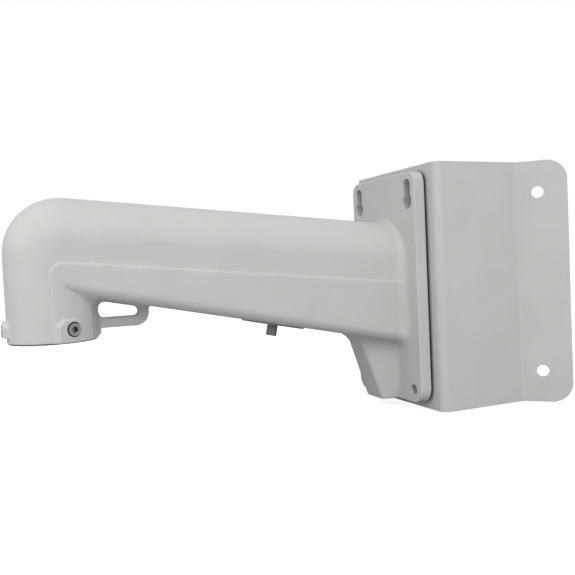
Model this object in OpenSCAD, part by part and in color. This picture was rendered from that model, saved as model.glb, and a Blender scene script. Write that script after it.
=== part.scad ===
// Wall-arm bracket for a pendant dome camera, on an adapter for the outside corner of a building.
// Millimetres. +Z is up, the arm reaches out along -Y, and the building's corner edge is the Z axis:
// the two walls are the vertical planes y = |x|, with the building behind them.

/* [Corner adapter] */
// Height of the bent sheet
adapter_height = 194; // [186:1:240]
// Outside width across the two side walls
adapter_width = 122.4; // [110:0.2:150]
// Depth of a side wall, from the front face to the fold of the wing
adapter_depth = 78; // [76:0.5:110]
// How far each wing stands out sideways from its side wall
wing_reach = 27.2; // [24:0.2:40]
// Thickness of the sheet
sheet_t = 3; // [2:0.5:4]
// Inside radius of every bend
bend_r = 3; // [2:0.5:5]
// Radius of the outer corners of a wing
wing_corner_r = 16; // [4:1:20]
// Diameter of a wall-bolt hole
wing_hole_d = 9.5; // [7:0.5:12]
// Vertical distance between the two holes of a wing
wing_hole_pitch = 144; // [100:1:150]
// Distance from the fold to a hole, along the wing
wing_hole_inset = 16; // [14:0.5:20]
// Diameter of the cable hole in the front plate
cable_hole_d = 50; // [30:1:54]

/* [Arm plate] */
// Width of the plate
plate_w = 97; // [94:0.5:110]
// Height of the plate
plate_h = 182.6; // [180:0.2:186]
// Thickness of the plate
plate_t = 9.5; // [8.5:0.5:14]
// Radius of the plate's upper corners
plate_corner_r = 8; // [4:0.5:10]
// Radius of the plate's lower corners
plate_foot_r = 11; // [4:0.5:12]
// Sideways distance from the centre line to every hole of the plate
plate_hole_x = 38; // [37:0.5:40]
// Width of a keyhole's slot
keyhole_slot_w = 9.4; // [6:0.2:10]
// Diameter of a keyhole's wide end
keyhole_head_d = 12; // [10:0.5:13]
// Height of a keyhole's wide end
keyhole_z = 68.5; // [62:0.5:70]
// Height of the top end of a keyhole's slot
keyhole_top_z = 86; // [80:0.5:87]
// Diameter of a lower hole
lower_hole_d = 8; // [6:0.5:9]
// Height of the lower holes
lower_hole_z = -81; // [-82:0.5:-74]

/* [Arm] */
// Half the width of the arm, and the radius of its rounded top and of the neck
arm_r = 30; // [29:0.5:32]
// Thickness of the casting's wall
wall_t = 3.5; // [3:0.5:5]
// Height of the arm's top line at the plate's back
arm_top_z = 53; // [50:1:56]
// Rise of the top line, in degrees
arm_top_slope = 4.93; // [3:0.01:6]
// Height of the arm's underside at the plate's back
arm_under_z = -46.3; // [-50:0.1:-44]
// Rise of the underside, in degrees
arm_under_slope = 11.86; // [11:0.01:12]
// Distance of the neck's axis from the plate's back
neck_reach = 276; // [260:1:320]
// Radius of the elbow's outside
elbow_r = 38.3; // [36:0.1:42]
// Height of the neck's lower rim
neck_rim_z = -22; // [-30:1:-20]

/* [Side panels] */
// How far a side panel stands proud of the arm
panel_proud = 1; // [0.5:0.1:1.5]
// Height of the panel's top edge at the plate's back
panel_top_z = 4; // [0:0.5:8]
// Rise of the panel's top edge, in degrees
panel_slope = 5.75; // [4:0.01:6]
// Distance of the panel's wall end from the plate's back
panel_start = 13.6; // [11:0.1:20]
// How far the panel's front edge lies past the neck's axis
panel_past_axis = 2.5; // [0:0.5:4]
// Radius of the panel's upper front corner
panel_corner_r = 10; // [4:0.5:12]

/* [Gusset] */
// Half the width of the gusset at the plate, under the arm
gusset_half_w = 18; // [14:0.5:24]
// Half the width of the gusset at the plate, at its foot
gusset_foot_half_w = 15.5; // [14:0.5:24]
// Half the width of the gusset's front, under the arm
gusset_front_half_w = 11.2; // [8:0.1:14]
// Half the width of the gusset's front, at its foot
gusset_foot_front_half_w = 12.6; // [8:0.1:14]
// Reach of the gusset at its foot
gusset_foot = 23.4; // [20:0.1:34]
// Reach of the gusset where it meets the underside
gusset_top = 42; // [40:0.1:60]

/* [Camera socket] */
// Bore of the socket, the crest diameter of its pipe thread
socket_d = 44.84; // [40:0.01:48]
// Length of the threaded bore
socket_length = 18; // [14:1:20]
// How far the rubber seal stands below the rim
seal_t = 0.6; // [0.4:0.1:2]

/* [Lock screws] */
// Height of the three lock screws
lock_z = -13.4; // [-14:0.1:-12]
// How far the two side screws sit round towards the wall, in degrees
lock_angle = 20; // [0:1:30]
// Distance of a screw's flat pad from the neck's axis
lock_pad_r = 32.5; // [32:0.1:34]
// Half the width of a pad's face
lock_pad_half_w = 10.2; // [9:0.1:11]
// Thread diameter
lock_d = 5; // [4:1:6]
// Diameter of the screw's head
lock_head_d = 8.5; // [7:0.5:10]
// How far the head stands out of its pad
lock_head_proud = 0.6; // [0:0.1:1]

/* [Safety rope loop] */
// Thickness of the loop
loop_t = 7; // [5:0.5:9]
// Distance of the loop's wall end from the plate's back
loop_start = 209.7; // [200:0.1:220]
// Height of the loop's lowest edge
loop_bottom_z = -16; // [-19:0.5:-14]
// Width of the loop's bar
loop_bar = 7.5; // [6:0.5:8]

/* [Cable hatch] */
// Distance of the hatch's centre from the plate's back
hatch_reach = 112.5; // [100:0.5:150]
// Length of the cover
hatch_length = 45; // [44:1:60]
// Width of the cover
hatch_w = 28; // [27:1:36]
// Thickness of the cover
hatch_t = 0.8; // [0.8:0.1:2]
// Thickness of the cover's seal
hatch_seal_t = 0.3; // [0.3:0.1:1]
// Diameter of the knurled screw's head
hatch_head_d = 8.4; // [7:0.1:10]
// Height of the knurled screw's head
hatch_head_h = 8.5; // [5:0.1:9]

/* [Arm to adapter fixings] */
// Thickness of the gasket between the plate and the adapter
gasket_t = 2; // [1.5:0.1:3]
// Thread diameter of the four bolts
bolt_d = 6; // [5:1:6]
// Height of the upper pair of bolts
bolt_upper_z = 40; // [25:1:50]
// Height of the lower pair of bolts
bolt_lower_z = -55; // [-65:1:-40]

/* [Hidden] */
LOCKS = ["right", "front", "left"];
CORNERS = ["upper_right", "upper_left", "lower_right", "lower_left"];
$fn = 96;
face_gap = 0.02; // kept between two tilted faces that rest on each other

PAINT = "#C3C3C0";
RUBBER = "#2B2B2B";
STEEL = "#8A8B8C";

// The wings' back faces lie on the walls, which places the front of the adapter and all that follows.
adapter_front_y = -(adapter_depth - adapter_width / 2 + sheet_t * sqrt(2));
plate_back_y = adapter_front_y - gasket_t;
bend_outer_r = bend_r + sheet_t;

// The wing folds about this centre: bend_r from the side wall's outside and from the wing's front face.
fold_x = adapter_width / 2 + bend_r;
fold_y = fold_x - (sheet_t + bend_r) * sqrt(2);
wing_length = (adapter_width / 2 + wing_reach - fold_x) * sqrt(2) + bend_r;

// The arm's axis runs up at arm_top_slope, arm_r below the top line.
axis_z = arm_top_z - arm_r / cos(arm_top_slope);
elbow_sweep_r = elbow_r - arm_r;
elbow_reach = neck_reach - elbow_sweep_r;
elbow_z = arm_top_z + elbow_reach * tan(arm_top_slope) - elbow_r / cos(arm_top_slope);
axis_end = elbow_reach * cos(arm_top_slope) + (elbow_z - axis_z) * sin(arm_top_slope);
gusset_foot_z = -plate_h / 2;
gusset_head_z = -30; // inside the hollow arm
gusset_rise = arm_under_z + gusset_top * tan(arm_under_slope) - gusset_foot_z;
arm_start = 3.4; // keeps the tilted start of the arm inside the plate
cavity_start = -12; // behind the plate's back
section_drop = 130; // deeper than the underside at the plate
flank_step = 0.05;
panel_inner_x = 18;

lock_pad_top = 6.4; // from the screw's axis up to the top edge of the pad's face
lock_pad_chamfer = 4;
lock_pad_flare = 0.2; // how far a pad's sides spread per millimetre towards the neck's axis
lock_pad_wall_side = 5; // from a side screw's axis to where the pad slopes down towards the wall
lock_pad_wall_flare = 1.35;
lock_pad_base = 24; // distance of a pad's hidden base from the neck's axis
front_pad_drop = 4.2; // from the front screw's axis down to the foot of its pad
lock_pocket_d = 9.6;
lock_head_h = 5;
lock_travel_in = 1.4; // room under a head for driving the screw home
lock_tip_clear = 0.2; // from the screw's tip to the socket's bore
lock_hex = 4;
lock_head_out = lock_pad_r + lock_head_proud;
lock_pocket_floor = lock_head_out - lock_head_h - lock_travel_in;
thread_clear = 0.05; // radial gap that stands for a thread's fit

hatch_opening = [20, 38]; // across and along the arm
bridge_w = 12;
bridge_h = 4.4;
bridge_under = wall_t + 0.1; // the bridge starts just above the wall's inside
hatch_shank_d = 5;
hatch_shank_tip = 6.2; // above the underside
hatch_cover_hole_d = 5.6;
hatch_head_top = -hatch_seal_t - hatch_t; // where the screw's head meets the cover
hatch_clip_z = 2.4; // above the underside
hatch_clip_t = 0.6;
hatch_clip_r = 4.5;
hatch_groove_r = 2.2;
hatch_hex = 4;
knurl_count = 16;

bend_steps = 12;
wing_spare = 2; // length that is cut off to form the wing's end
cable_hole_z = 5;
gasket_half_w = 46.5;
gasket_z = [-75, 58]; // lowest and highest edge
gasket_side_rim = 16.5; // wide enough for the bolts to pass through
gasket_end_rim = 6;
bolt_head_h = 4;
bolt_head_af = 10;
washer_t = 1.6;
flat_washer_d = 12;
spring_washer_d = 11.4;
spring_gap_angle = 10;
washer_hole_d = bolt_d + 0.4;
bolt_tip = 7.6; // how deep a bolt reaches into the plate
bolt_hole_depth = 8.2; // in the plate
bolt_hole_d = bolt_d + 0.6; // in the adapter and the gasket

// Height of the arm's underside at a distance u from the plate's back
function under_z(u) = arm_under_z + u * tan(arm_under_slope);

// Height of a side panel's top edge at a distance u from the plate's back
function panel_z(u) = panel_top_z + u * tan(panel_slope);

// x of a bolt and its height, by the corner it sits at
function bolt_place(i) = [(i % 2 == 0 ? 1 : -1) * plate_hole_x, i < 2 ? bolt_upper_z : bolt_lower_z];

// Angle of a lock screw about the neck: right, front, left
function lock_turn(i) = [-lock_angle, 90, 180 + lock_angle][i];

module rounded_rect(w, h, r) {
    square([w - 2 * r, h], center = true);
    square([w, h - 2 * r], center = true);
    for (x = [-1, 1], y = [-1, 1])
        translate([x * (w / 2 - r), y * (h / 2 - r)])
            circle(r);
}

// The arm is drawn in its own space: x across, y outward from the plate's back, z up.
module arm_space() {
    translate([0, plate_back_y, 0])
        mirror([0, 1, 0])
            children();
}

// A flat shape drawn as (outward, up), given a width across the arm
module side_extrude(w) {
    rotate([90, 0, 90])
        linear_extrude(w, center = true)
            children();
}

// A flat shape drawn as (across, up), extruded outward from y0 to y1
module front_extrude(y0, y1) {
    translate([0, y1, 0])
        rotate([90, 0, 0])
            linear_extrude(y1 - y0)
                children();
}

// Space of the hatch: origin on the underside at its centre, y along the underside, z into the arm
module hatch_space() {
    translate([0, hatch_reach, under_z(hatch_reach)])
        rotate([arm_under_slope, 0, 0])
            children();
}

// Space of lock screw i: origin on the neck's axis, x along the screw towards its head
module lock_space(i) {
    translate([0, neck_reach, lock_z])
        rotate([0, 0, lock_turn(i)])
            children();
}

// Cylinder along x, from x0 to x1
module rod_x(d, x0, x1) {
    translate([x0, 0, 0])
        rotate([0, 90, 0])
            cylinder(d = d, h = x1 - x0);
}

// Cylinder along y, from y0 to y1
module rod_y(d, y0, y1) {
    translate([0, y1, 0])
        rotate([90, 0, 0])
            cylinder(d = d, h = y1 - y0);
}

// ---- Arm casting ----

// The straight arm: a rounded top on flat flanks
module arm_prism(r, start) {
    translate([0, 0, axis_z])
        rotate([arm_top_slope, 0, 0])
            front_extrude(start, axis_end) {
                circle(r);
                translate([-r, -section_drop])
                    square([2 * r, section_drop]);
            }
}

module elbow(r) {
    translate([0, elbow_reach, elbow_z])
        rotate([90, 0, 90])
            rotate_extrude(angle = 90 + arm_top_slope) {
                translate([elbow_sweep_r, 0])
                    intersection() {
                        circle(r);
                        translate([0, -r])
                            square([r, 2 * r]);
                    }
                translate([0, -r])
                    square([elbow_sweep_r, 2 * r]);
            }
}

// Fills the corner between the straight arm, the elbow and the neck, a hair inside their flanks
module elbow_block(r) {
    back = elbow_reach - 15;
    front = neck_reach - 1;
    side_extrude(2 * (r - flank_step))
        polygon([
            [back, elbow_z + 1], [front, elbow_z + 1],
            [front, under_z(front) - 10], [back, under_z(back) - 10]
        ]);
}

// Everything below the underside, raised by lift
module below_underside(lift) {
    rise = lift / cos(arm_under_slope);
    far = neck_reach + 10;
    near = -40;
    side_extrude(4 * arm_r)
        polygon([
            [near, under_z(near) + rise], [far, under_z(far) + rise],
            [far, -2 * section_drop], [near, -2 * section_drop]
        ]);
}

// Outer or inner form of the hollow arm: radius r, underside raised by lift, neck down to neck_z
module arm_form(r, start, lift, neck_z) {
    difference() {
        union() {
            arm_prism(r, start);
            elbow_block(r);
        }
        below_underside(lift);
    }
    elbow(r);
    translate([0, neck_reach, neck_z])
        cylinder(r = r, h = elbow_z - neck_z);
}

// Outline of a side panel, as (outward, up)
module panel_outline() {
    front = neck_reach + panel_past_axis;
    corner = [front - panel_corner_r, panel_z(front - panel_corner_r) - panel_corner_r];
    translate(corner)
        circle(panel_corner_r);
    polygon([
        [panel_start, panel_z(panel_start)], corner + [0, panel_corner_r], corner + [panel_corner_r, 0],
        [front, neck_rim_z], [panel_start, -section_drop]
    ]);
}

// The panels stop short of the neck's wall side, panel_inner_x from the middle.
module side_panels() {
    difference() {
        intersection() {
            arm_form(arm_r + panel_proud, arm_start, 0, neck_rim_z);
            side_extrude(3 * arm_r)
                panel_outline();
        }
        translate([-panel_inner_x, 0, -section_drop])
            cube([2 * panel_inner_x, neck_reach + arm_r, 2 * section_drop]);
    }
}

// Reach of the gusset's front, and half the gusset's width at the plate and at its front, at a height z
function gusset_at(z, foot, top) = foot + (z - gusset_foot_z) * (top - foot) / gusset_rise;
function gusset_reach(z) = gusset_at(z, gusset_foot, gusset_top);
function gusset_side(z) = gusset_at(z, gusset_foot_half_w, gusset_half_w);
function gusset_front(z) = gusset_at(z, gusset_foot_front_half_w, gusset_front_half_w);

// The gusset, from its foot up into the arm, drawn in by inset. It narrows from the plate to its front.
module gusset(inset) {
    hull()
        for (z = [gusset_foot_z + inset, gusset_head_z]) {
            side = gusset_side(z) - inset;
            front = gusset_front(z) - inset;
            reach = gusset_reach(z) - inset;
            translate([0, 0, z])
                linear_extrude(0.01)
                    polygon([
                        [-side, 0], [side, 0], [side, plate_t], [front, reach],
                        [-front, reach], [-side, plate_t]
                    ]);
        }
}

module arm_plate() {
    front_extrude(0, plate_t)
        hull()
            for (side = [-1, 1], end = [[1, plate_corner_r], [-1, plate_foot_r]])
                translate([side * (plate_w / 2 - end[1]), end[0] * (plate_h / 2 - end[1])])
                    circle(end[1]);
}

module keyhole() {
    slot_r = keyhole_slot_w / 2;
    translate([0, keyhole_z])
        circle(d = keyhole_head_d);
    translate([0, keyhole_top_z - slot_r])
        circle(slot_r);
    translate([-slot_r, keyhole_z])
        square([keyhole_slot_w, keyhole_top_z - slot_r - keyhole_z]);
}

module plate_holes() {
    front_extrude(-1, plate_t + 1)
        for (x = [-plate_hole_x, plate_hole_x])
            translate([x, 0]) {
                keyhole();
                translate([0, lower_hole_z])
                    circle(d = lower_hole_d);
            }
    for (i = [0:3])
        translate([bolt_place(i)[0], 0, bolt_place(i)[1]])
            rod_y(bolt_d + 2 * thread_clear, -1, bolt_hole_depth);
}

// A pad of flaring sides, base to face, its outline at each given as (sideways, up)
module lock_pad(face, base) {
    rotate([90, 0, 90])
        hull() {
            translate([0, 0, lock_pad_base])
                linear_extrude(0.01)
                    polygon(base);
            translate([0, 0, lock_pad_r - 0.01])
                linear_extrude(0.01)
                    polygon(face);
        }
}

// Outline of a pad as (sideways, up), grown by out above and outward, and by out_wall towards the wall
function pad_outline(near, top, foot, out, out_wall, wall_cut) = [
    [near + out, foot], [near + out, top + out - lock_pad_chamfer],
    [near + out - lock_pad_chamfer, top + out], [wall_cut - out_wall, top + out],
    [-out_wall, top + out - wall_cut], [-out_wall, foot]
];

// Pad of the right lock screw: towards the wall it slopes down into the neck.
module side_lock_pad() {
    depth = lock_pad_r - lock_pad_base;
    foot = neck_rim_z - lock_z;
    w = lock_pad_half_w;
    grown = depth * lock_pad_flare;
    wall = lock_pad_wall_side;
    lock_space(0)
        lock_pad(
            pad_outline(w, lock_pad_top, foot, 0, wall, 1),
            pad_outline(w, lock_pad_top, foot, grown, wall + depth * lock_pad_wall_flare, 1)
        );
}

module front_lock_pad() {
    w = lock_pad_half_w - 1;
    grown = (lock_pad_r - lock_pad_base) * lock_pad_flare;
    lock_space(1)
        lock_pad(
            pad_outline(w, lock_pad_top, -front_pad_drop, 0, w, lock_pad_chamfer),
            pad_outline(w, lock_pad_top, -front_pad_drop, grown, w + grown, lock_pad_chamfer)
        );
}

module lock_pads() {
    side_lock_pad();
    mirror([1, 0, 0])
        side_lock_pad();
    front_lock_pad();
}

module lock_screw_hole(i) {
    lock_space(i) {
        rod_x(lock_d + 2 * thread_clear, socket_d / 2 - 2, lock_pad_r);
        rod_x(lock_pocket_d, lock_pocket_floor, lock_pad_r + 2);
    }
}

// Ear below the arm, between the neck and the underside, that a safety rope clips to
module rope_loop() {
    neck_wall = neck_reach - arm_r + 3;
    corner_r = 9.5;
    wall_r = 3.2;
    neck_r = 5.3;
    web = 1.6; // below the underside
    slot_start = loop_start + loop_bar;
    slot_end = neck_reach - arm_r;
    slot_floor = loop_bottom_z + loop_bar;
    side_extrude(loop_t)
        difference() {
            polygon([
                [loop_start, under_z(loop_start) + 1], [neck_wall, under_z(neck_wall) + 1],
                [neck_wall, loop_bottom_z - 4], [slot_end - 1.2, loop_bottom_z - 3],
                [slot_end - 1.2, loop_bottom_z], [loop_start, loop_bottom_z]
            ]);
            difference() {
                translate([loop_start - 1, loop_bottom_z - 1])
                    square(corner_r + 1);
                translate([loop_start + corner_r, loop_bottom_z + corner_r])
                    circle(corner_r);
            }
            hull($fn = 32)
                for (end = [[slot_start + wall_r, wall_r], [slot_end - neck_r, neck_r]]) {
                    translate([end[0], slot_floor + end[1]])
                        circle(end[1]);
                    translate([end[0], under_z(end[0]) - web - end[1]])
                        circle(end[1]);
                }
        }
}

// Opening in the underside for reaching the cable, and the strap over it that holds the hatch's screw
module hatch_opening_cut() {
    hatch_space() {
        translate([0, 0, -1])
            linear_extrude(bridge_under + 1)
                rounded_rect(hatch_opening[0], hatch_opening[1], 3);
        translate([0, 0, -1])
            cylinder(d = hatch_shank_d + 2 * thread_clear, h = 12);
    }
}

module hatch_bridge() {
    hatch_space()
        translate([-hatch_opening[0] / 2 - 4, -bridge_w / 2, wall_t - 1])
            cube([hatch_opening[0] + 8, bridge_w, bridge_h + 1.1]);
}

module arm_casting() {
    color(PAINT)
        arm_space()
            difference() {
                union() {
                    difference() {
                        union() {
                            arm_plate();
                            arm_form(arm_r, arm_start, 0, neck_rim_z);
                            side_panels();
                            gusset(0);
                            lock_pads();
                            rope_loop();
                        }
                        arm_form(arm_r - wall_t, cavity_start, wall_t, neck_rim_z + socket_length);
                        translate([0, -1, 0])
                            gusset(wall_t);
                    }
                    hatch_bridge();
                }
                translate([0, neck_reach, neck_rim_z - 1])
                    cylinder(d = socket_d, h = socket_length + 2);
                plate_holes();
                for (i = [0:2])
                    lock_screw_hole(i);
                hatch_opening_cut();
            }
}

// ---- Corner adapter ----

// Points of an arc about c, from angle a0 to a1
function arc(c, r, a0, a1) =
    [for (k = [0:bend_steps]) c + r * [cos(a0 + (a1 - a0) * k / bend_steps), sin(a0 + (a1 - a0) * k / bend_steps)]];

// Corner of a wing's uncut end, d from the fold's centre
function wing_end(d) = [fold_x, fold_y] + (wing_length + wing_spare) * [1, 1] / sqrt(2) + d * [-1, 1] / sqrt(2);

function reversed(points) = [for (k = [len(points) - 1:-1:0]) points[k]];
function flipped(points) = [for (p = points) [-p[0], p[1]]];

// One half of an edge of the bent sheet, seen from above: front bend of radius r, then the fold, then the wing
function sheet_path(r, fold_r) = concat(
    arc([adapter_width / 2 - bend_outer_r, adapter_front_y + bend_outer_r], r, -90, 0),
    arc([fold_x, fold_y], fold_r, 180, 135),
    [wing_end(fold_r)]
);

module bent_sheet() {
    outside = sheet_path(bend_outer_r, bend_r);
    inside = sheet_path(bend_r, bend_outer_r);
    linear_extrude(adapter_height, center = true)
        polygon(concat(reversed(flipped(outside)), outside, reversed(inside), flipped(inside)));
}

// Space of a wing: origin at the fold's centre and mid-height, x along the wing, y up, z through the sheet
module wing_space() {
    translate([fold_x, fold_y, 0])
        rotate([0, 0, 45])
            rotate([90, 0, 0])
                children();
}

// What is cut off a wing: its two holes, and all that lies outside its rounded end
module wing_cuts() {
    r = wing_corner_r;
    h = adapter_height;
    hole_s = wing_hole_inset - bend_r * tan(22.5);
    wing_space()
        translate([0, 0, -bend_outer_r - 1]) {
            for (z = [-1, 1])
                translate([hole_s, z * wing_hole_pitch / 2, 0])
                    cylinder(d = wing_hole_d, h = sheet_t + 2);
            linear_extrude(sheet_t + 2)
                difference() {
                    translate([wing_length - r, -h / 2 - 1])
                        square([r + wing_spare + 1, h + 2]);
                    translate([wing_length - 2 * r, r - h / 2])
                        square([2 * r, h - 2 * r]);
                    for (z = [-1, 1])
                        translate([wing_length - r, z * (h / 2 - r)])
                            circle(r);
                }
        }
}

module corner_adapter() {
    color(PAINT)
        difference() {
            bent_sheet();
            wing_cuts();
            mirror([1, 0, 0])
                wing_cuts();
            translate([0, adapter_front_y, cable_hole_z])
                rod_y(cable_hole_d, -1, sheet_t + 1);
            for (i = [0:3])
                translate([bolt_place(i)[0], adapter_front_y, bolt_place(i)[1]])
                    rod_y(bolt_hole_d, -1, sheet_t + 1);
        }
}

// ---- Seals ----

module plate_gasket() {
    w = 2 * gasket_half_w;
    h = gasket_z[1] - gasket_z[0];
    color(RUBBER)
        arm_space()
            difference() {
                translate([0, 0, (gasket_z[0] + gasket_z[1]) / 2])
                    front_extrude(-gasket_t, 0)
                        difference() {
                            rounded_rect(w, h, 8);
                            rounded_rect(w - 2 * gasket_side_rim, h - 2 * gasket_end_rim, 4);
                        }
                for (i = [0:3])
                    translate([bolt_place(i)[0], 0, bolt_place(i)[1]])
                        rod_y(bolt_hole_d, -gasket_t - 1, 1);
            }
}

module neck_seal() {
    color(RUBBER)
        arm_space()
            translate([0, neck_reach, neck_rim_z - seal_t])
                difference() {
                    cylinder(r = arm_r - 1, h = seal_t);
                    translate([0, 0, -1])
                        cylinder(r = socket_d / 2 + 1.2, h = seal_t + 2);
                }
}

// ---- Lock screws ----

module lock_screw(i) {
    tip = socket_d / 2 + lock_tip_clear;
    color(STEEL)
        arm_space()
            lock_space(i)
                difference() {
                    union() {
                        rod_x(lock_d, tip, lock_head_out - lock_head_h);
                        rod_x(lock_head_d, lock_head_out - lock_head_h, lock_head_out);
                    }
                    translate([lock_head_out - lock_head_h / 2, 0, 0])
                        rotate([0, 90, 0])
                            cylinder(d = lock_hex / cos(30), h = lock_head_h, $fn = 6);
                }
}

// ---- Hatch ----

module hatch_cover() {
    color(PAINT)
        arm_space()
            hatch_space()
                translate([0, 0, hatch_head_top])
                    linear_extrude(hatch_t)
                        difference() {
                            rounded_rect(hatch_w, hatch_length, 5);
                            circle(d = hatch_cover_hole_d);
                        }
}

module hatch_seal() {
    color(RUBBER)
        arm_space()
            hatch_space()
                translate([0, 0, -hatch_seal_t])
                    linear_extrude(hatch_seal_t - face_gap)
                        difference() {
                            rounded_rect(hatch_w - 0.6, hatch_length - 0.6, 4.7);
                            rounded_rect(hatch_opening[0] + 1, hatch_opening[1] + 1, 3.5);
                        }
}

module hatch_screw() {
    color(STEEL)
        arm_space()
            hatch_space()
                difference() {
                    union() {
                        translate([0, 0, hatch_head_top - hatch_head_h])
                            cylinder(d = hatch_head_d, h = hatch_head_h);
                        translate([0, 0, hatch_head_top])
                            cylinder(d = hatch_shank_d, h = hatch_shank_tip - hatch_head_top);
                    }
                    translate([0, 0, hatch_clip_z])
                        difference() {
                            cylinder(r = 4, h = hatch_clip_t);
                            cylinder(r = hatch_groove_r, h = hatch_clip_t);
                        }
                    for (k = [0:knurl_count - 1])
                        rotate([0, 0, k * 360 / knurl_count])
                            translate([hatch_head_d / 2, 0, hatch_head_top - hatch_head_h - 1])
                                cylinder(d = 0.9, h = hatch_head_h + 0.2, $fn = 24);
                    translate([0, 0, hatch_head_top - hatch_head_h - 1])
                        cylinder(d = hatch_hex / cos(30), h = 4, $fn = 6);
                }
}

module hatch_clip() {
    color(STEEL)
        arm_space()
            hatch_space()
                translate([0, 0, hatch_clip_z])
                    rotate([0, 0, -55])
                        rotate_extrude(angle = 290)
                            translate([hatch_groove_r, 0])
                                square([hatch_clip_r - hatch_groove_r, hatch_clip_t]);
}

// ---- Bolts from inside the adapter into the arm's plate ----

// Space of bolt i: origin on the adapter's inside face, z towards the plate
module bolt_space(i) {
    arm_space()
        translate([bolt_place(i)[0], -gasket_t - sheet_t, bolt_place(i)[1]])
            rotate([-90, 0, 0])
                children();
}

module ring(outer_d, t) {
    difference() {
        cylinder(d = outer_d, h = t);
        translate([0, 0, -1])
            cylinder(d = washer_hole_d, h = t + 2);
    }
}

module flat_washer(i) {
    color(STEEL)
        bolt_space(i)
            translate([0, 0, -washer_t])
                ring(flat_washer_d, washer_t);
}

module spring_washer(i) {
    color(STEEL)
        bolt_space(i)
            translate([0, 0, -2 * washer_t])
                rotate_extrude(angle = 360 - spring_gap_angle)
                    translate([washer_hole_d / 2, 0])
                        square([(spring_washer_d - washer_hole_d) / 2, washer_t]);
}

module bolt(i) {
    shank = 2 * washer_t + sheet_t + gasket_t + bolt_tip;
    color(STEEL)
        bolt_space(i)
            translate([0, 0, -2 * washer_t]) {
                cylinder(d = bolt_d, h = shank);
                translate([0, 0, -bolt_head_h])
                    cylinder(d = bolt_head_af / cos(30), h = bolt_head_h, $fn = 6);
            }
}

arm_casting();
corner_adapter();
plate_gasket();
neck_seal();
for (i = [0:2])
    lock_screw(i);
hatch_cover();
hatch_seal();
hatch_screw();
hatch_clip();
for (i = [0:3]) {
    bolt(i);
    spring_washer(i);
    flat_washer(i);
}
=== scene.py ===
"""Looks for the pendant camera's corner bracket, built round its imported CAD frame.

Units are metres, in the CAD's frame: +Z up, the arm reaches out along -Y, the building's corner edge is
the Z axis. The arm's casting is drawn as a distance field in millimetres, in the arm's own space
(x across, u outward from the plate's back, z up), because its fillets run into each other.
"""

import math

import bmesh
import bpy
import numpy as np
import openvdb as vdb
from mathutils import Matrix, Vector


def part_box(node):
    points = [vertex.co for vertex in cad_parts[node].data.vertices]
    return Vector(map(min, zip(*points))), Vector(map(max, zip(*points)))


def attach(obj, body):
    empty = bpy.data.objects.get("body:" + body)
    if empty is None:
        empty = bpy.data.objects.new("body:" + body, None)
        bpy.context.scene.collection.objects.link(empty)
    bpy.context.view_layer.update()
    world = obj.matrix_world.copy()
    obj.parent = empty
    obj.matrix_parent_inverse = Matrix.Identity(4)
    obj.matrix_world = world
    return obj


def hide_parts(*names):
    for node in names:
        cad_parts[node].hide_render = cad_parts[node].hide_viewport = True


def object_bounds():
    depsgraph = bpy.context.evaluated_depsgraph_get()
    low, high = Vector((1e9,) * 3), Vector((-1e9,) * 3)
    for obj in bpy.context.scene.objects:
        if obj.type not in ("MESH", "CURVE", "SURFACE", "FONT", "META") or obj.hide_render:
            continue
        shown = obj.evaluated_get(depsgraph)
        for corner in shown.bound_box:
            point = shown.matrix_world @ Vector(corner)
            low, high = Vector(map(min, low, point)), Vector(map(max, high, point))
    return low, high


MM = 0.001

# ---- Sizes of the casting, in millimetres, as the CAD has them, and the radii that it leaves out ----
PLATE = (97.0, 9.5, 182.6)  # width, thickness, height
PLATE_CORNER_R = (11.0, 8.0)  # lower, upper
PLATE_EDGE_R = 0.7
PLATE_BEHIND = 10.0  # the plate is drawn on behind its back, and then cut there
PLATE_FILLET_Z = (-60, -40, 15, 45)  # the radius of the fillet round the arm follows the height
PLATE_FILLET_R = (3, 8, 8, 4)
PLATE_FILLET_FOOT = 8.0  # over this height the fillet grows from nothing at the plate's lower edge

HOLE_X = 38.0
KEYHOLE_Z = (68.5, 81.3)  # centre of the round end, centre of the slot's upper end
KEYHOLE_R = (6.0, 4.7)
LOWER_HOLE_Z = -81.0
LOWER_HOLE_R = 4.0
HOLE_EDGE_R = 0.6
HOLE_REACH = 30.0  # the wall screws' holes are cut free up to here
BOLT_Z = (40.0, -55.0)
BOLT_HOLE_R = 3.05
BOLT_HOLE_DEPTH = 8.2

ARM_R = 30.0
WALL_T = 3.5
CAVITY_EDGE_R = 5.0
AXIS_SLOPE = math.radians(4.93)
AXIS_Z = 53.0 - ARM_R / math.cos(AXIS_SLOPE)
UNDER_Z = -46.3
UNDER_SLOPE = math.radians(11.86)
UNDER_EDGE_R = 8.0
NECK_U = 276.0
NECK_TOP_Z = 38.0  # the neck's cylinder ends inside the elbow
NECK_FILLET_R = 8.0
NECK_FILLET_U = (264.0, 250.0)  # the fillet to the underside grows between these
ELBOW_SWEEP_R = 8.3
RIM_Z = -22.0
RIM_EDGE_R = 1.0
RIM_U = 235.0  # the rim's plane cuts nothing nearer the plate
SHARP = 0.001  # the radius of a fillet that has faded out
PAST = 3.0  # cuts start this far outside the surface

PANEL_PROUD = 1.3  # 1 in the CAD: here it stands out further, so that its edge shows
PANEL_Z = 4.0
PANEL_SLOPE = math.radians(5.75)
PANEL_START = (10.0, 15.0)  # the panel rises out of the plate's fillet from here to here
PANEL_FRONT = NECK_U + 2.5
PANEL_CORNER_R = 10.0
PANEL_INNER_X = (16.0, 20.0)  # and out of the arm's top and underside from here to here
PANEL_EDGE_R = 1.2
PANEL_FOOT_R = 0.7
PANEL_FOOT_FADE = 4.0  # the fillet at the panel's foot fades out this close to the underside

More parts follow.
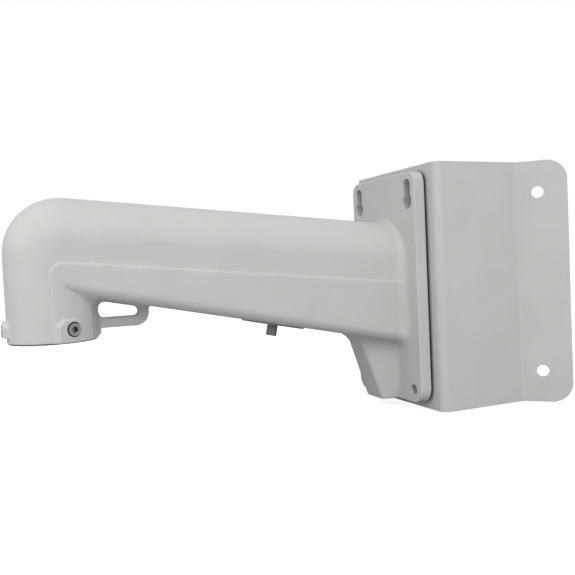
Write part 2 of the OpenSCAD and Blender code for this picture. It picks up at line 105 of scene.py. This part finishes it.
GUSSET_HALF_W = (15.5, 18.0)  # at the plate: foot, under the arm
GUSSET_FRONT_HALF_W = (12.6, 11.2)
GUSSET_REACH = (23.4, 42.0)
GUSSET_RISE = 53.82  # from the foot to where the front meets the underside
GUSSET_EDGE_R = 2.2
GUSSET_INNER_R = 2.0
GUSSET_FOOT_R = 1.5
GUSSET_FILLET_R = 7.0
GUSSET_HEAD = 8.0  # the gusset reaches this far into the arm
GUSSET_FRONT_LEAN = 0.938  # level distance to true distance from the sloping front
GUSSET_SIDE_LEAN = 0.95  # and from the slanting sides

SOCKET_R = 22.42
SOCKET_LENGTH = 18.0
THREAD_PITCH = 2.309
THREAD_DEPTH = 1.4

LOCK_Z = -13.4
LOCK_ANGLE = math.radians(20)
LOCK_PAD_R = 32.5
LOCK_PAD_DEPTH = 8.5
FRONT_PAD_HALF_W = 9.2
SIDE_PAD_HALF_W = 10.2
LOCK_PAD_TOP = 6.4
LOCK_PAD_CHAMFER = 4.0
LOCK_PAD_FLARE = 0.2
LOCK_PAD_EDGE_R = 0.8
LOCK_PAD_FILLET_R = 1.2
FRONT_PAD_FOOT = -4.2
SIDE_PAD_FOOT = -20.0
SIDE_PAD_WALL = 5.0  # towards the wall the side pad ends here, and slopes down into the neck
SIDE_PAD_WALL_FLARE = 1.35
SIDE_PAD_WALL_R = 5.0
LOCK_THREAD_R = 2.55  # the hole for the screw's thread, and where it ends from the neck's axis
LOCK_THREAD_END = 20.4
LOCK_HEAD_R = 4.8  # the wider hole for its head
LOCK_HEAD_END = 26.7

LOOP_START = 209.7
LOOP_FLOOR_Z = -16.0
LOOP_BAR = 7.5
LOOP_HALF_T = 3.5
LOOP_CORNER_R = 9.5
LOOP_SLOT_R = (3.2, 5.3)  # at its end nearer the wall, at the neck
LOOP_SLOT_BELOW = 1.6  # from the underside to the slot
LOOP_RIB_U = 243.8  # from here the loop's lower edge runs down to the neck
LOOP_RIB_Z = -19.5
LOOP_RIB_FALL = 0.4
LOOP_SLOT_EDGE_R = 1.0
LOOP_EDGE_R = 1.3
LOOP_ROOT = (3.0, 1.0)  # how far the loop reaches into the neck, and into the underside
LOOP_FILLET_R = 2.5

HATCH_U = 112.5
HATCH_OPENING = (20.0, 38.0)  # across and along the arm
HATCH_CORNER_R = 3.0
HATCH_BRIDGE = (14.0, 6.0)  # half its length across, half its width
HATCH_BRIDGE_UP = (WALL_T + 0.1, 8.0)  # its bottom and top over the underside
HATCH_BRIDGE_R = 0.8
HATCH_THREAD_R = 2.55
HATCH_THREAD_TOP = 12.0


# ---- Distance fields ----
def length(a, b):
    return np.sqrt(a * a + b * b)


def fade(value, start, full):
    """0 at start, 1 at full, and level beyond them."""
    return np.clip((value - start) / (full - start), 0, 1)


def fillet(a, b, r):
    """Union of two fields, with a fillet of radius r between them."""
    return np.maximum(r, np.minimum(a, b)) - length(np.maximum(r - a, 0), np.maximum(r - b, 0))


def rounded(a, b, r):
    """Intersection of two fields, with an edge of radius r."""
    return np.minimum(-r, np.maximum(a, b)) + length(np.maximum(a + r, 0), np.maximum(b + r, 0))


def chamfered(a, b, c):
    """Intersection of two fields, with an edge cut back by c along each."""
    return np.maximum(np.maximum(a, b), (a + b + c) * math.sqrt(0.5))


def cut(body, *holes):
    for hole in holes:
        body = np.maximum(body, -hole)
    return body


def under_z(u):
    return UNDER_Z + u * math.tan(UNDER_SLOPE)


def below_under(u, z, lift=0.0):
    """Distance below the underside, raised by lift."""
    return (under_z(u) - z) * math.cos(UNDER_SLOPE) + lift


def arm_core(x, u, z, r):
    """The rounded top, elbow and front of the arm, open downward."""
    above = (z - AXIS_Z - u * math.tan(AXIS_SLOPE)) * math.cos(AXIS_SLOPE)
    front = u - NECK_U
    centre_u = NECK_U - ELBOW_SWEEP_R
    centre_z = AXIS_Z + centre_u * math.tan(AXIS_SLOPE) - ELBOW_SWEEP_R / math.cos(AXIS_SLOPE)
    du, dz = u - centre_u, z - centre_z
    past_tangents = (du * math.cos(AXIS_SLOPE) + dz * math.sin(AXIS_SLOPE) > 0) & (dz > 0)
    off_core = np.where(past_tangents, length(du, dz) - ELBOW_SWEEP_R, np.maximum(above, front))
    return length(x, np.maximum(off_core, 0)) - r


def arm_body(x, u, z, r):
    """Arm and neck of half width r. The fillet between underside and neck fades out above the underside."""
    depth = below_under(u, z)
    arm = rounded(arm_core(x, u, z, r), depth, UNDER_EDGE_R)
    neck = np.maximum(length(x, u - NECK_U) - r, z - NECK_TOP_Z)
    grown = fade(depth, -NECK_FILLET_R, 0) * fade(u, *NECK_FILLET_U)
    return fillet(arm, neck, SHARP + NECK_FILLET_R * grown)


def panel_outline(u, z):
    top = (z - PANEL_Z - u * math.tan(PANEL_SLOPE)) * math.cos(PANEL_SLOPE)
    return rounded(top, u - PANEL_FRONT, PANEL_CORNER_R)


def side_panels(x, u, z):
    proud = PANEL_PROUD * fade(x, *PANEL_INNER_X) * fade(u, *PANEL_START)
    return rounded(arm_body(x, u, z, ARM_R + proud), panel_outline(u, z), PANEL_EDGE_R)


def lock_space(x, u, z, turn):
    """Along the screw, sideways, and up from its axis. turn is its angle from the x axis, towards +u."""
    c, s = math.cos(turn), math.sin(turn)
    return x * c + (u - NECK_U) * s, (u - NECK_U) * c - x * s, z - LOCK_Z


def lock_pad(side, up, depth, half_w, foot):
    """A pad whose near side, top and cut corner flare outward with the depth below its face."""
    flare = LOCK_PAD_FLARE * depth
    near, top = side - half_w - flare, up - LOCK_PAD_TOP - flare
    flank = chamfered(near, top, LOCK_PAD_CHAMFER) / math.hypot(1, LOCK_PAD_FLARE)
    pad = np.maximum(rounded(flank, -depth, LOCK_PAD_EDGE_R), foot - up)
    return np.maximum(pad, depth - LOCK_PAD_DEPTH)


def lock_pads(x, u, z):
    """The front pad, and the side one, which slopes down into the neck towards the wall."""
    along, side, up = lock_space(x, u, z, math.pi / 2)
    front = lock_pad(np.abs(side), up, LOCK_PAD_R - along, FRONT_PAD_HALF_W, FRONT_PAD_FOOT)
    along, side, up = lock_space(x, u, z, -LOCK_ANGLE)
    depth = LOCK_PAD_R - along
    slope = (-side - SIDE_PAD_WALL - SIDE_PAD_WALL_FLARE * depth) / math.hypot(1, SIDE_PAD_WALL_FLARE)
    pad = lock_pad(side, up, depth, SIDE_PAD_HALF_W, SIDE_PAD_FOOT)
    return np.minimum(front, rounded(pad, slope, SIDE_PAD_WALL_R))


def lock_hole(x, u, z, turn):
    """The thread of a lock screw, and the wider hole for its head."""
    along, side, up = lock_space(x, u, z, turn)
    radius = length(side, up)
    thread = np.maximum(radius - LOCK_THREAD_R, LOCK_THREAD_END - along)
    return np.minimum(thread, np.maximum(radius - LOCK_HEAD_R, LOCK_HEAD_END - along))


def plate(x, u, z):
    w, t, h = PLATE
    corner_r = np.where(z < 0, *PLATE_CORNER_R)
    outline = rounded(x - w / 2, np.abs(z) - h / 2, corner_r)
    return rounded(outline, np.maximum(-PLATE_BEHIND - u, u - t), PLATE_EDGE_R)


def plate_holes(x, z):
    """The keyholes and lower holes, for the wall's screws, and the holes for the bolts."""
    off = x - HOLE_X
    low, high = KEYHOLE_Z
    round_end = length(off, z - low) - KEYHOLE_R[0]
    slot = length(off, z - np.clip(z, low, high)) - KEYHOLE_R[1]
    lower = length(off, z - LOWER_HOLE_Z) - LOWER_HOLE_R
    bolts = np.minimum(*[length(off, z - bolt_z) for bolt_z in BOLT_Z]) - BOLT_HOLE_R
    return np.minimum(np.minimum(round_end, slot), lower), bolts


def gusset(x, u, z, inset, edge_r):
    """The gusset narrows from the plate to its sloping front. It is drawn in by inset."""
    foot_z = -PLATE[2] / 2
    rise = (z - foot_z) / GUSSET_RISE
    reach, side, front = [
        foot + (top - foot) * rise for foot, top in (GUSSET_REACH, GUSSET_HALF_W, GUSSET_FRONT_HALF_W)
    ]
    reach = reach - inset
    flank = GUSSET_SIDE_LEAN * (x - side - (front - side) * fade(u, PLATE[1], reach) + inset)
    body = rounded(GUSSET_FRONT_LEAN * (u - reach), flank, edge_r)
    return np.maximum(rounded(body, foot_z + inset - z, GUSSET_FOOT_R), -GUSSET_HEAD - below_under(u, z))


def rope_loop(x, u, z):
    """The ear under the arm, with a slot that a safety rope goes through."""
    outline = rounded(LOOP_START - u, LOOP_FLOOR_Z - z, LOOP_CORNER_R)
    rib = np.maximum(LOOP_RIB_U - u, LOOP_RIB_Z - z - LOOP_RIB_FALL * (u - LOOP_RIB_U))
    outline = np.maximum(np.minimum(outline, rib), u - (NECK_U - ARM_R + LOOP_ROOT[0]))
    outline = np.maximum(outline, -LOOP_ROOT[1] - below_under(u, z))
    start, end = LOOP_START + LOOP_BAR, NECK_U - ARM_R
    slot_r = LOOP_SLOT_R[0] + (LOOP_SLOT_R[1] - LOOP_SLOT_R[0]) * fade(u, start, end)
    slot = rounded(
        np.maximum(start - u, u - end),
        np.maximum(LOOP_FLOOR_Z + LOOP_BAR - z, z - under_z(u) + LOOP_SLOT_BELOW),
        slot_r,
    )
    return rounded(rounded(outline, -slot, LOOP_SLOT_EDGE_R), x - LOOP_HALF_T, LOOP_EDGE_R)


def cavity(x, u, z):
    r = ARM_R - WALL_T
    arm = rounded(arm_core(x, u, z, r), below_under(u, z, WALL_T), CAVITY_EDGE_R)
    arm = fillet(arm, gusset(x, u, z, WALL_T, GUSSET_INNER_R), GUSSET_INNER_R)
    neck = np.maximum(length(x, u - NECK_U) - r, RIM_Z + SOCKET_LENGTH - z)
    return np.minimum(arm, np.maximum(neck, z - NECK_TOP_Z))


def socket(x, u, z):
    """The neck's bore, wide enough for the thread's lining."""
    bore = length(x, u - NECK_U) - SOCKET_R - THREAD_DEPTH
    return np.maximum(bore, np.maximum(z - RIM_Z - SOCKET_LENGTH, RIM_Z - PAST - z))


def hatch_space(u, z):
    """Along the underside and up from it, from the hatch's centre."""
    c, s = math.cos(UNDER_SLOPE), math.sin(UNDER_SLOPE)
    du, dz = u - HATCH_U, z - under_z(HATCH_U)
    return du * c + dz * s, dz * c - du * s


def hatch_opening(x, along, up):
    across, lengthways = HATCH_OPENING
    window = rounded(x - across / 2, np.abs(along) - lengthways / 2, HATCH_CORNER_R)
    return np.maximum(window, np.maximum(-PAST - up, up - HATCH_BRIDGE_UP[0]))


def hatch_bridge(x, along, up):
    """The strap over the opening, which the hatch's screw goes into."""
    bottom, top = HATCH_BRIDGE_UP
    sides = np.maximum(x - HATCH_BRIDGE[0], np.abs(along) - HATCH_BRIDGE[1])
    return rounded(sides, np.maximum(bottom - up, up - top), HATCH_BRIDGE_R)


def casting(x, u, z):
    """The whole arm casting. It is symmetric, so x may have either sign."""
    x = np.abs(x)
    arm = arm_body(x, u, z, ARM_R)
    panel_foot = np.maximum(fade(np.abs(below_under(u, z)), 0, PANEL_FOOT_FADE), SHARP)
    arm = fillet(arm, side_panels(x, u, z), PANEL_FOOT_R * panel_foot)
    arm = fillet(arm, lock_pads(x, u, z), LOCK_PAD_FILLET_R)
    arm = rounded(arm, np.minimum(RIM_Z - z, u - RIM_U), RIM_EDGE_R)
    arm = fillet(arm, rope_loop(x, u, z), LOOP_FILLET_R)
    arm = fillet(arm, gusset(x, u, z, 0, GUSSET_EDGE_R), GUSSET_FILLET_R)
    plate_foot = np.maximum(fade(z + PLATE[2] / 2, 0, PLATE_FILLET_FOOT), SHARP)
    arm = fillet(arm, plate(x, u, z), np.interp(z, PLATE_FILLET_Z, PLATE_FILLET_R) * plate_foot)
    arm = cut(arm, cavity(x, u, z))
    along, up = hatch_space(u, z)
    arm = np.minimum(arm, hatch_bridge(x, along, up))
    arm = cut(arm, socket(x, u, z), lock_hole(x, u, z, -LOCK_ANGLE), lock_hole(x, u, z, math.pi / 2))
    holes, bolts = plate_holes(x, z)
    arm = rounded(arm, -np.maximum(holes, u - HOLE_REACH), HOLE_EDGE_R)
    hatch_thread = np.maximum(length(x, along) - HATCH_THREAD_R, up - HATCH_THREAD_TOP)
    arm = cut(arm, np.maximum(bolts, u - BOLT_HOLE_DEPTH), hatch_opening(x, along, up), hatch_thread)
    return np.maximum(arm, -u)


# ---- Meshes ----
BAND = 3  # voxels of the grid on either side of the surface that hold a distance
SETTLE_STEPS = 4  # Newton steps that move the points onto the surface
SETTLE_MAX = 0.4  # voxels a point may move in one step
LEAST_GRADIENT = 0.25  # squared, where a field is flat
THREAD_DUTY = (1.25, 3.0, 0.95)  # width and steepness of a groove's flanks, and its depth
LINING_T = 0.2  # the thread's lining reaches this far into the wall


def to_frame(points):
    """Arm-space millimetres to the CAD's frame in metres."""
    x, u, z = points.T
    return np.stack([x, PLATE_BACK_Y / MM - u, z], 1) * MM


def gradient_of(field, points, step=0.04):
    """Gradient of a field at scattered points."""
    x, u, z = points.T
    gradient = np.stack([
        field(x + step, u, z) - field(x - step, u, z),
        field(x, u + step, z) - field(x, u - step, z),
        field(x, u, z + step) - field(x, u, z - step),
    ], 1)
    return gradient / (2 * step)


def settled(field, points, voxel):
    """The points, moved onto the field's zero surface."""
    for _ in range(SETTLE_STEPS):
        gradient = gradient_of(field, points)
        size = np.maximum((gradient**2).sum(1), LEAST_GRADIENT)
        off = np.clip(field(*points.T), -SETTLE_MAX * voxel, SETTLE_MAX * voxel)
        points = points - gradient * (off / size)[:, None]
    return points


def field_mesh(name, field, half_x, u_range, z_range, voxel, adaptivity):
    """A closed mesh of the field's zero surface, with the field's own normals."""
    x = np.arange(0, half_x, voxel)[:, None, None]
    u = np.arange(*u_range, voxel)[None, :, None]
    z = np.arange(*z_range, voxel)[None, None, :]
    half = np.clip(field(x, u, z), -BAND * voxel, BAND * voxel).astype(np.float32)
    grid = vdb.FloatGrid()
    grid.background = BAND * voxel
    grid.copyFromArray(np.concatenate([half[:0:-1], half]))
    points, triangles, quads = grid.convertToPolygons(0.0, adaptivity)
    points = points.astype(float) * voxel + [-(half.shape[0] - 1) * voxel, u_range[0], z_range[0]]
    points = settled(field, points, voxel)
    mesh = bpy.data.meshes.new(name)
    faces = [f[::-1] for f in triangles.tolist()] + [f[::-1] for f in quads.tolist()]
    mesh.from_pydata(to_frame(points).tolist(), [], faces)
    mesh.validate()
    gradient = gradient_of(field, points)
    normals = gradient / np.linalg.norm(gradient, axis=1)[:, None] * [1, -1, 1]
    mesh.shade_smooth()
    mesh.normals_split_custom_set_from_vertices(normals.tolist())
    return mesh


def thread_mesh(name, turn_steps, pitch_steps):
    """Lining of the socket: a helical thread inside, a plain wall outside."""
    rows = round(SOCKET_LENGTH / THREAD_PITCH * pitch_steps)
    angle = np.linspace(0, 2 * math.pi, turn_steps, endpoint=False)[None, :]
    z = np.linspace(RIM_Z, RIM_Z + SOCKET_LENGTH, rows)[:, None]
    phase = (z / THREAD_PITCH - angle / (2 * math.pi)) % 1
    width, steepness, deepest = THREAD_DUTY
    groove = np.clip(width - steepness * np.abs(phase - 0.5), 0, 1)
    lead_in = np.clip(1 - (z - RIM_Z) / THREAD_DEPTH, 0, 1)
    inner = SOCKET_R + THREAD_DEPTH * np.maximum(groove * deepest, lead_in)
    outer = np.full_like(inner, SOCKET_R + THREAD_DEPTH + LINING_T)
    rings = np.concatenate([inner, outer[::-1]])
    heights = np.concatenate([z, z[::-1]]) + 0 * rings
    points = np.stack([rings * np.cos(angle), NECK_U + rings * np.sin(angle), heights], 2).reshape(-1, 3)
    index = np.arange(2 * rows * turn_steps).reshape(2 * rows, turn_steps)
    below, across = np.roll(index, -1, 0), np.roll(index, -1, 1)
    faces = np.stack([index, below, np.roll(below, -1, 1), across], 2).reshape(-1, 4)
    mesh = bpy.data.meshes.new(name)
    mesh.from_pydata(to_frame(points).tolist(), [], faces.tolist())
    mesh.validate()
    mesh.shade_smooth()
    return mesh


def add(name, mesh, body, material, *replaced, slot):
    """Places a mesh as a piece that moves with a body, in the stead of the CAD nodes it replaces."""
    piece = bpy.data.objects.new(name, mesh)
    bpy.context.scene.collection.objects.link(piece)
    mesh.materials.append(material)
    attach(piece, body)
    if replaced:
        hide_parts(*replaced)


# ---- Materials ----
COAT = (0.53, 0.53, 0.515)
PAINTED_SHADE_REACH = 0.005  # painted shade in crevices: how near, in metres, another surface has to be
PAINTED_SHADE_OPEN = (0.1, 0.85)  # darkest below the first openness, untouched above the second
BEVEL_OVER = math.radians(35)  # edges sharper than this are softened


def node_material(name, color, roughness, metallic=0.0):
    """A principled material, with its nodes, links, shader and the coordinates its textures sit in."""
    material = bpy.data.materials.new(name)
    material.use_nodes = True
    nodes, links = material.node_tree.nodes, material.node_tree.links
    shader = nodes["Principled BSDF"]
    shader.inputs["Base Color"].default_value = (*color, 1)
    shader.inputs["Roughness"].default_value = roughness
    shader.inputs["Metallic"].default_value = metallic
    where = nodes.new("ShaderNodeTexCoord")
    return material, nodes, links, shader, where.outputs["Object"]


def shades(color, *factors):
    """The colour at several brightnesses."""
    return [[c * k for c in color] for k in factors]


def noise(nodes, links, where, scale, detail=2.0, rough=0.5):
    tex = nodes.new("ShaderNodeTexNoise")
    tex.inputs["Scale"].default_value = scale
    tex.inputs["Detail"].default_value = detail
    tex.inputs["Roughness"].default_value = rough
    links.new(where, tex.inputs["Vector"])
    return tex.outputs["Fac"]


def spread(nodes, links, value, low, high, out_low, out_high):
    """Remaps low..high of a value to out_low..out_high."""
    node = nodes.new("ShaderNodeMapRange")
    sockets = ("From Min", "From Max", "To Min", "To Max")
    for socket, number in zip(sockets, (low, high, out_low, out_high)):
        node.inputs[socket].default_value = number
    links.new(value, node.inputs["Value"])
    return node.outputs["Result"]


def bump(nodes, links, height, distance, under=None):
    """Normals of a relief, on top of another relief where one is given."""
    node = nodes.new("ShaderNodeBump")
    node.inputs["Distance"].default_value = distance
    links.new(height, node.inputs["Height"])
    if under is not None:
        links.new(under, node.inputs["Normal"])
    return node.outputs["Normal"]


def tint(nodes, links, value, dark, light):
    """A colour between dark and light by a value from 0 to 1."""
    ramp = nodes.new("ShaderNodeValToRGB")
    ramp.color_ramp.elements[0].color = (*dark, 1)
    ramp.color_ramp.elements[1].color = (*light, 1)
    links.new(value, ramp.inputs["Fac"])
    return ramp.outputs["Color"]


def painted_crevice_shade(nodes, links, color, darkest):
    """The colour, darkened in gaps and holes as painted shade, down to darkest times itself."""
    near = nodes.new("ShaderNodeAmbientOcclusion")
    near.inputs["Distance"].default_value = PAINTED_SHADE_REACH
    shaded = nodes.new("ShaderNodeVectorMath")
    shaded.operation = "SCALE"
    links.new(color, shaded.inputs[0])
    kept = spread(nodes, links, near.outputs["AO"], *PAINTED_SHADE_OPEN, darkest, 1)
    links.new(kept, shaded.inputs["Scale"])
    return shaded.outputs[0]


def powder_coat(name, color):
    """Light grey powder coat: a fine grain on a faint orange peel, slightly uneven in tone."""
    material, nodes, links, shader, where = node_material(name, color, roughness=0.5)
    tone = noise(nodes, links, where, scale=28, detail=3)
    grain = noise(nodes, links, where, scale=2600, rough=0.6)
    peel = noise(nodes, links, where, scale=420)
    mixed = nodes.new("ShaderNodeMath")
    mixed.operation = "ADD"
    links.new(spread(nodes, links, tone, 0.3, 0.7, -0.12, 0.12), mixed.inputs[0])
    links.new(spread(nodes, links, grain, 0.3, 0.7, 0.35, 0.65), mixed.inputs[1])
    coat = tint(nodes, links, mixed.outputs[0], *shades(color, 0.9, 1.1))
    # painted shade: the coat's colour darkened in crevices
    links.new(painted_crevice_shade(nodes, links, coat, darkest=0.12), shader.inputs["Base Color"])
    links.new(spread(nodes, links, peel, 0.3, 0.7, 0.47, 0.57), shader.inputs["Roughness"])
    peeled = bump(nodes, links, peel, distance=0.00012)
    links.new(bump(nodes, links, grain, distance=0.00005, under=peeled), shader.inputs["Normal"])
    return material


def rubber(name):
    """Matt black rubber with a fine grain."""
    material, nodes, links, shader, where = node_material(name, (0.018, 0.018, 0.019), roughness=0.7)
    grain = noise(nodes, links, where, scale=1500, detail=3)
    grained = tint(nodes, links, grain, (0.012, 0.012, 0.013), (0.03, 0.03, 0.031))
    links.new(grained, shader.inputs["Base Color"])
    links.new(spread(nodes, links, grain, 0.3, 0.7, 0.6, 0.8), shader.inputs["Roughness"])
    links.new(bump(nodes, links, grain, distance=0.00005), shader.inputs["Normal"])
    return material


def metal(name, color, roughness, scratch_scale):
    """Machined metal: fine scratches in the finish, a mottled tone, and painted shade in its crevices."""
    material, nodes, links, shader, where = node_material(name, color, roughness, metallic=1.0)
    tone = noise(nodes, links, where, scale=260, detail=3)
    scratches = noise(nodes, links, where, scratch_scale, detail=4, rough=0.7)
    mottled = tint(nodes, links, tone, *shades(color, 0.82, 1.12))
    # painted shade: the metal's colour darkened in crevices
    links.new(painted_crevice_shade(nodes, links, mottled, darkest=0.1), shader.inputs["Base Color"])
    finish = spread(nodes, links, scratches, 0.3, 0.7, roughness - 0.08, roughness + 0.12)
    links.new(finish, shader.inputs["Roughness"])
    links.new(bump(nodes, links, scratches, distance=0.00002), shader.inputs["Normal"])
    return material


def dress(node, material, bevel):
    """Gives a CAD node its material, and soft edges of bevel millimetres."""
    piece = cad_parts[node]
    piece.data.materials.clear()
    piece.data.materials.append(material)
    edges = piece.modifiers.new("edges", "BEVEL")
    edges.width = bevel * MM
    edges.segments = 2
    edges.limit_method = "ANGLE"
    edges.angle_limit = BEVEL_OVER
    edges.harden_normals = True


# ---- Stage ----
CAMERA_AT = (0.50051, -0.33600, 0.02339)
CAMERA_YAW, CAMERA_PITCH, CAMERA_ROLL = math.radians(23.19), math.radians(1.96), math.radians(-2.57)
SENSOR_W, LENS = 36.0, 43.0954  # millimetres
FLOOR_GAP = 0.002  # from the lowest piece down to the floor


def seen_or_lit(nodes, links, seen, lit):
    """The strength seen where a camera looks at the stage, and lit where the stage lights the object."""
    path = nodes.new("ShaderNodeLightPath")
    return spread(nodes, links, path.outputs["Is Camera Ray"], 0, 1, lit, seen)


def white_world():
    world = bpy.data.worlds.new("studio")
    bpy.context.scene.world = world
    world.use_nodes = True
    nodes, links = world.node_tree.nodes, world.node_tree.links
    background = nodes["Background"]
    background.inputs["Color"].default_value = (1, 1, 1, 1)
    links.new(seen_or_lit(nodes, links, seen=1.0, lit=0.72), background.inputs["Strength"])


def add_floor(z):
    mesh = bpy.data.meshes.new("floor")
    shape = bmesh.new()
    bmesh.ops.create_circle(shape, cap_ends=True, radius=30, segments=64)
    shape.to_mesh(mesh)
    shape.free()
    floor = bpy.data.objects.new("floor", mesh)
    floor.location.z = z
    bpy.context.scene.collection.objects.link(floor)
    material, nodes, links, shader, _ = node_material("floor", (0.41, 0.41, 0.41), roughness=0.9)
    shader.inputs["Emission Color"].default_value = (1, 1, 1, 1)
    links.new(seen_or_lit(nodes, links, seen=0.85, lit=0.0), shader.inputs["Emission Strength"])
    mesh.materials.append(material)


def add_light(name, at, towards, size, power):
    data = bpy.data.lights.new(name, "AREA")
    data.shape = "DISK"
    data.size = size
    data.energy = power
    light = bpy.data.objects.new(name, data)
    light.location = at
    light.rotation_euler = (Vector(towards) - Vector(at)).to_track_quat("-Z", "Y").to_euler()
    bpy.context.scene.collection.objects.link(light)


def add_camera():
    """The photograph's camera: on the near side, before the adapter, level with the arm's underside."""
    level = math.cos(CAMERA_PITCH)
    ahead = Vector((-math.cos(CAMERA_YAW) * level, math.sin(CAMERA_YAW) * level, -math.sin(CAMERA_PITCH)))
    right = Vector((math.sin(CAMERA_YAW), math.cos(CAMERA_YAW), 0))
    up = right.cross(ahead)
    c, s = math.cos(CAMERA_ROLL), math.sin(CAMERA_ROLL)
    right, up = right * c + up * s, up * c - right * s
    data = bpy.data.cameras.new("camera")
    data.sensor_width = SENSOR_W
    data.lens = LENS
    camera = bpy.data.objects.new("camera", data)
    place = Matrix((right, up, -ahead)).transposed().to_4x4()
    place.translation = Vector(CAMERA_AT)
    camera.matrix_world = place
    bpy.context.scene.collection.objects.link(camera)
    bpy.context.scene.camera = camera


# ---- The object ----
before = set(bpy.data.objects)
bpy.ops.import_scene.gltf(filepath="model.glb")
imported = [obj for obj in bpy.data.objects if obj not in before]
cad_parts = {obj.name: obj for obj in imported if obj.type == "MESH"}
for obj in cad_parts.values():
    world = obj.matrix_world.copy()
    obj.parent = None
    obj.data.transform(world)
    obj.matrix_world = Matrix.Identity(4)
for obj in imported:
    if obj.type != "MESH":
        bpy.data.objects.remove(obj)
cad_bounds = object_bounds()
PLATE_BACK_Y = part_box("arm_casting")[1].y

paint = powder_coat("coated_casting", COAT)
sheet_paint = powder_coat("coated_sheet", COAT)
black = rubber("black_rubber")
stainless = metal("stainless_steel", (0.45, 0.46, 0.47), roughness=0.28, scratch_scale=1800)
zinc = metal("zinc_plated_steel", (0.56, 0.57, 0.58), roughness=0.36, scratch_scale=900)
# a darker steel than the lock screws, for the hatch screw
darker_steel = metal("darker_steel", (0.33, 0.335, 0.35), roughness=0.42, scratch_scale=700)

arm = field_mesh(
    "arm", casting, half_x=51, u_range=(-2, 310), z_range=(-93, 93),
    voxel=0.55, adaptivity=0.015,
)
add("arm", arm, "bracket", paint, "arm_casting", slot="coated_casting")
thread = thread_mesh("socket_thread", turn_steps=240, pitch_steps=12)
add("socket_thread", thread, "bracket", paint, slot="coated_casting")

dress("corner_adapter", sheet_paint, bevel=0.4)
dress("hatch_cover", sheet_paint, bevel=0.3)
for seal in ("plate_gasket", "neck_seal", "hatch_seal"):
    dress(seal, black, bevel=0.15)
for part in ("lock_screw_right", "lock_screw_front", "lock_screw_left", "hatch_clip"):
    dress(part, stainless, bevel=0.2)
dress("hatch_screw", darker_steel, bevel=0.2)
for corner in ("upper_right", "upper_left", "lower_right", "lower_left"):
    for part in ("bolt", "spring_washer", "flat_washer"):
        dress(f"{part}_{corner}", zinc, bevel=0.2)

white_world()
add_floor(cad_bounds[0].z - FLOOR_GAP)
add_light("key", at=(1.55, -0.35, 1.1), towards=(0, -0.15, 0), size=1.8, power=17.4)
add_light("front", at=(0.15, -0.9, 0.3), towards=(0, -0.3, 0), size=0.5, power=1.4)
add_camera()
bpy.context.scene.view_settings.view_transform = "Standard"
